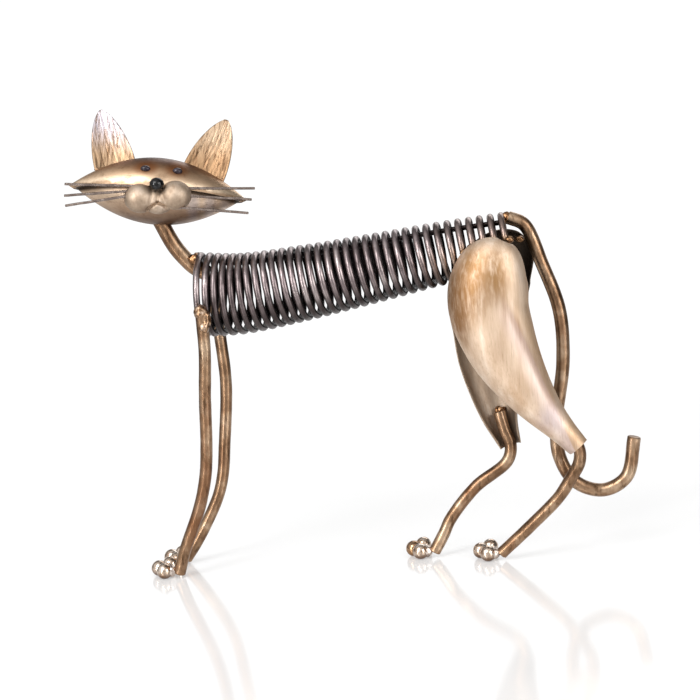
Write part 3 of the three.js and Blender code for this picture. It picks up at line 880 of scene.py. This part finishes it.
# Muzzle: two pads and the bridge between them, run together, with the mouth pressed in.
PAD, PAD_PLACES = (7.6, 6.6, 7.0), [(-0.178, -0.158, 0.2), (0.21, -0.096, 0.2)]
BRIDGE, BRIDGE_PLACE = (7.4, 4.8, 6.4), (0.02, -0.17, 0.2)
CREASE_X, CREASE_TOP, CREASE_WIDTH, CREASE_DEPTH = 0.9, -2, 0.9, 0.9
MOUTH_Z, MOUTH_REACH, MOUTH_WIDTH, MOUTH_DEPTH = -9.2, 5.6, 0.7, 1.4
MUZZLE_FRONT = -17


def pressed(q):
    """How deep the crease and the mouth are at a point of the muzzle's front."""
    lean = CREASE_X + 0.12 * (q.z + 6)
    crease = math.exp(-(((q.x - lean) / CREASE_WIDTH) ** 2)) * (1 if MOUTH_Z < q.z < CREASE_TOP else 0)
    mouth = 0.0
    for side in (-1, 1):
        along = (q.x - CREASE_X) * side
        if -0.4 < along < MOUTH_REACH:
            line = MOUTH_Z - 0.4 * along - 0.03 * along * along + 0.16 * (q.x - CREASE_X)
            fade = min((MOUTH_REACH - along) / 2, 1)
            mouth = max(mouth, math.exp(-(((q.z - line) / MOUTH_WIDTH) ** 2)) * fade)
    return CREASE_DEPTH * crease + MOUTH_DEPTH * mouth


forms = [blob(on_head(*place), PAD, 1, 0.0, 4) for place in PAD_PLACES]
forms.append(blob(on_head(*BRIDGE_PLACE), BRIDGE, 1, 0.0, 4))
verts, faces, normals = melted(forms, 0.34, 5)
for i, q in enumerate(verts):
    if q.y < MUZZLE_FRONT:
        verts[i] = q - normals[i] * pressed(q)
make("muzzle_pads", verts, faces, PALE, "muzzle", POSE)

verts, faces = blob(on_head(-0.003, -0.013, 3.6), (3.5, 3.3, 3.1), 1, 0.02, 4)
make("nose_bead", verts, faces, NOSE_M, "nose", POSE)
for key, place in (("left", (0.207, 0.186, 0.1)), ("right", (-0.146, 0.18, 0.1))):
    verts, faces = blob(on_head(*place), (2.4, 1.8, 1.6), 2, 0.02, 3)
    make("eye_bead_" + key, verts, faces, EYE_M, "eye_" + key, POSE)

# Each whisker's two ends, by shares of the head's half length.
WHISKER_STEPS = 16
WHISKERS = {
    "left_1": ((0.25, -0.02), (1.078, 0.05)),
    "left_2": ((0.25, -0.1), (1.053, -0.078)),
    "left_3": ((0.25, -0.235), (1.029, -0.233)),
    "right_1": ((-0.17, -0.03), (-1.014, -0.08)),
    "right_2": ((-0.25, -0.09), (-1.008, -0.21)),
    "right_3": ((-0.25, -0.14), (-0.987, -0.322)),
}
for number, (key, ends) in enumerate(WHISKERS.items()):
    start, tip = (
        vec(across * HEAD_HALF_LENGTH, -HEAD_HALF_DEPTH, up * HEAD_HALF_LENGTH) for across, up in ends
    )
    line = []
    for i in range(WHISKER_STEPS + 1):
        bend = vec(0, 0, 0.12 * noise.noise(vec(i * 0.35, number, 2.0)))
        line.append(start.lerp(tip, i / WHISKER_STEPS) + bend)
    verts, faces = tube(line, [WHISKER / 2] * len(line), 10, 0.25)
    make("whisker_wire_" + key, verts, faces, FINE, "whisker_" + key, POSE)

# Welds.
welds.append(("neck_weld", [
    blob((-71.2, -3.4, 154.8), (3.2, 2.4, 2.6), 1, 0.25),
    blob((-70.0, -0.4, 155.9), (2.6, 3.0, 1.8), 2, 0.25),
    blob((-69.2, -4.4, 152.0), (2.4, 2.0, 2.4), 3, 0.3),
], BROWN_WELD))
for side, key in ((-1, "left"), (1, "right")):
    q = LEGS["front_" + key][0].spaced(0)
    welds.append(("leg_weld_" + key, [
        blob((q.x - 0.2, q.y, q.z - 1.0), (3.4, 3.1, 3.6), 5, 0.2),
        blob((q.x + 2.2, q.y - side * 0.6, q.z - 4.6), (2.4, 2.6, 4.2), 6, 0.25),
        blob((q.x + 1.2, q.y + side * 0.7, q.z - 8.2), (2.5, 2.6, 3.0), 7, 0.25),
    ], TAN_WELD))
q = tail.spaced(0)
welds.append(("tail_weld", [
    blob((q.x - 0.4, -0.8, q.z + 0.2), (2.6, 2.6, 2.6), 4, 0.2),
    blob((q.x - 0.6, 1.4, q.z + 0.2), (2.4, 2.2, 2.4), 6, 0.2),
], BROWN_WELD))
for key, shape in HAUNCHES.items():
    hind = LEGS["hind_" + key][0]
    q = hind.spaced(0.02)
    tops = [(59.8, 150.6), (81.4, 155.4)] if key == "left" else [(60.2, 149.4), (84.0, 152.0)]
    parts = [blob((q.x, q.y + shape.side * 2.6, q.z + 1.5), (3.0, 1.6, 2.4), 7, 0.3)]
    for i, (x, z) in enumerate(tops):
        parts.append(blob((x, shape.side * 15.0, z), (2.2, 1.7, 1.7), 9 + i, 0.3))
    welds.append(("haunch_weld_" + key, parts, BROWN_WELD))
for name, parts, metal in welds:
    verts, faces, _ = melted(parts, 0.35, 4)
    make(name, verts, faces, metal, None)

# Floor, in metres.
FLOOR_HALF = 0.5
floor = bpy.data.meshes.new("floor")
corners = [(x * FLOOR_HALF, y * FLOOR_HALF, 0) for x, y in ((-1, -1), (1, -1), (1, 1), (-1, 1))]
floor.from_pydata(corners, [], [(0, 1, 2, 3)])
floor_obj = bpy.data.objects.new("floor", floor)
bpy.context.scene.collection.objects.link(floor_obj)
n = Nodes("white_floor")
n.shader.inputs["Emission Color"].default_value = (1, 1, 1, 1)
n.shader.inputs["Emission Strength"].default_value = 0.34
n.shader.inputs["IOR"].default_value = 2.25
floor.materials.append(n.finish((0.5, 0.5, 0.5, 1), 0.11, 0.0))

# The studio: white behind the cat, and for its reflections bright high in front and dark behind.
world = bpy.data.worlds.new("studio")
bpy.context.scene.world = world
world.use_nodes = True
tree = world.node_tree
sky = tree.nodes["Background"]
facing = tree.nodes.new("ShaderNodeVectorMath")
facing.operation = "DOT_PRODUCT"
facing.inputs[1].default_value = vec(-0.35, -0.65, 0.68).normalized()
tree.links.new(tree.nodes.new("ShaderNodeTexCoord").outputs["Generated"], facing.inputs[0])
height = tree.nodes.new("ShaderNodeMapRange")
height.inputs[1].default_value, height.inputs[2].default_value = -1.0, 1.0
tree.links.new(facing.outputs["Value"], height.inputs[0])
bands = tree.nodes.new("ShaderNodeValToRGB")
stops = bands.color_ramp.elements
stops[0].position, stops[0].color = 0.4, (0.1, 0.1, 0.1, 1)
stops[1].position, stops[1].color = 0.92, (1.0, 1.0, 1.0, 1)
stops.new(0.6).color = (0.22, 0.22, 0.22, 1)
stops.new(0.76).color = (0.6, 0.6, 0.6, 1)
tree.links.new(height.outputs[0], bands.inputs[0])
# A white card stands low behind the cat, for the floor to mirror.
split = tree.nodes.new("ShaderNodeSeparateXYZ")
tree.links.new(facing.inputs[0].links[0].from_socket, split.inputs[0])
card = None
# Each edge of the card: the axis that it reads, where the card is gone and where it is full.
for axis, gone, full in ((2, 0.36, 0.3), (2, -0.02, 0.0), (1, 0.5, 0.7)):
    edge = tree.nodes.new("ShaderNodeMapRange")
    edge.inputs[1].default_value, edge.inputs[2].default_value = gone, full
    tree.links.new(split.outputs[axis], edge.inputs[0])
    if card is not None:
        times = tree.nodes.new("ShaderNodeMath")
        times.operation = "MULTIPLY"
        tree.links.new(card, times.inputs[0])
        tree.links.new(edge.outputs[0], times.inputs[1])
        edge = times
    card = edge.outputs[0]
carded = tree.nodes.new("ShaderNodeMix")
carded.data_type = "RGBA"
tree.links.new(card, carded.inputs[0])
tree.links.new(bands.outputs[0], carded.inputs[6])
carded.inputs[7].default_value = (0.85, 0.85, 0.85, 1)
seen = tree.nodes.new("ShaderNodeLightPath")
pick = tree.nodes.new("ShaderNodeMix")
pick.data_type = "RGBA"
tree.links.new(seen.outputs["Is Camera Ray"], pick.inputs[0])
tree.links.new(carded.outputs[2], pick.inputs[6])
pick.inputs[7].default_value = (1, 1, 1, 1)
tree.links.new(pick.outputs[2], sky.inputs[0])
sky.inputs[1].default_value = 1.05


def area(name, place, target, size, power):
    """A soft rectangular lamp facing its target, in metres and watts."""
    light = bpy.data.lights.new(name, "AREA")
    light.shape = "RECTANGLE"
    light.size, light.size_y = size
    light.energy = power
    obj = bpy.data.objects.new(name, light)
    obj.location = place
    obj.rotation_euler = (Vector(target) - Vector(place)).to_track_quat("-Z", "Y").to_euler()
    bpy.context.scene.collection.objects.link(obj)


area("key", (-0.5, -1.0, 1.1), (0, 0, 0.12), (0.7, 0.7), 11)
area("fill", (0.9, -0.9, 0.5), (0, 0, 0.12), (0.6, 0.8), 6)
area("left_strip", (-0.62, -0.85, 0.32), (0, 0, 0.1), (0.1, 0.6), 4)
area("right_strip", (0.75, -0.45, 0.32), (0, 0, 0.1), (0.06, 0.6), 1.5)
area("back", (0.2, 1.2, 0.9), (0, 0, 0.12), (1.0, 0.5), 4)

# Camera, at the photograph's angle: a pixel is 0.48 mm at the cat.
AZ, EL, ROLL, DIST = math.radians(8.5), math.radians(8.5), math.radians(4.7), 1150.0
PIXEL, IMAGE, AIM_HEIGHT = 0.48, 700, 105.7
back = vec(math.sin(AZ) * math.cos(EL), -math.cos(AZ) * math.cos(EL), math.sin(EL))
right = vec(math.cos(AZ), math.sin(AZ), 0)
spin = Matrix((right, back.cross(right), back)).transposed() @ Matrix.Rotation(-ROLL, 3, "Z")
camera = bpy.data.cameras.new("camera")
camera.sensor_width = 36
camera.lens = camera.sensor_width * (DIST / PIXEL) / IMAGE
camera.clip_start = 0.05
cam = bpy.data.objects.new("camera", camera)
cam.matrix_world = Matrix.Translation((vec(0, 0, AIM_HEIGHT) + SHIFT + back * DIST) * MM) @ spin.to_4x4()
bpy.context.scene.collection.objects.link(cam)
bpy.context.scene.camera = cam
bpy.context.scene.view_settings.view_transform = "Standard"
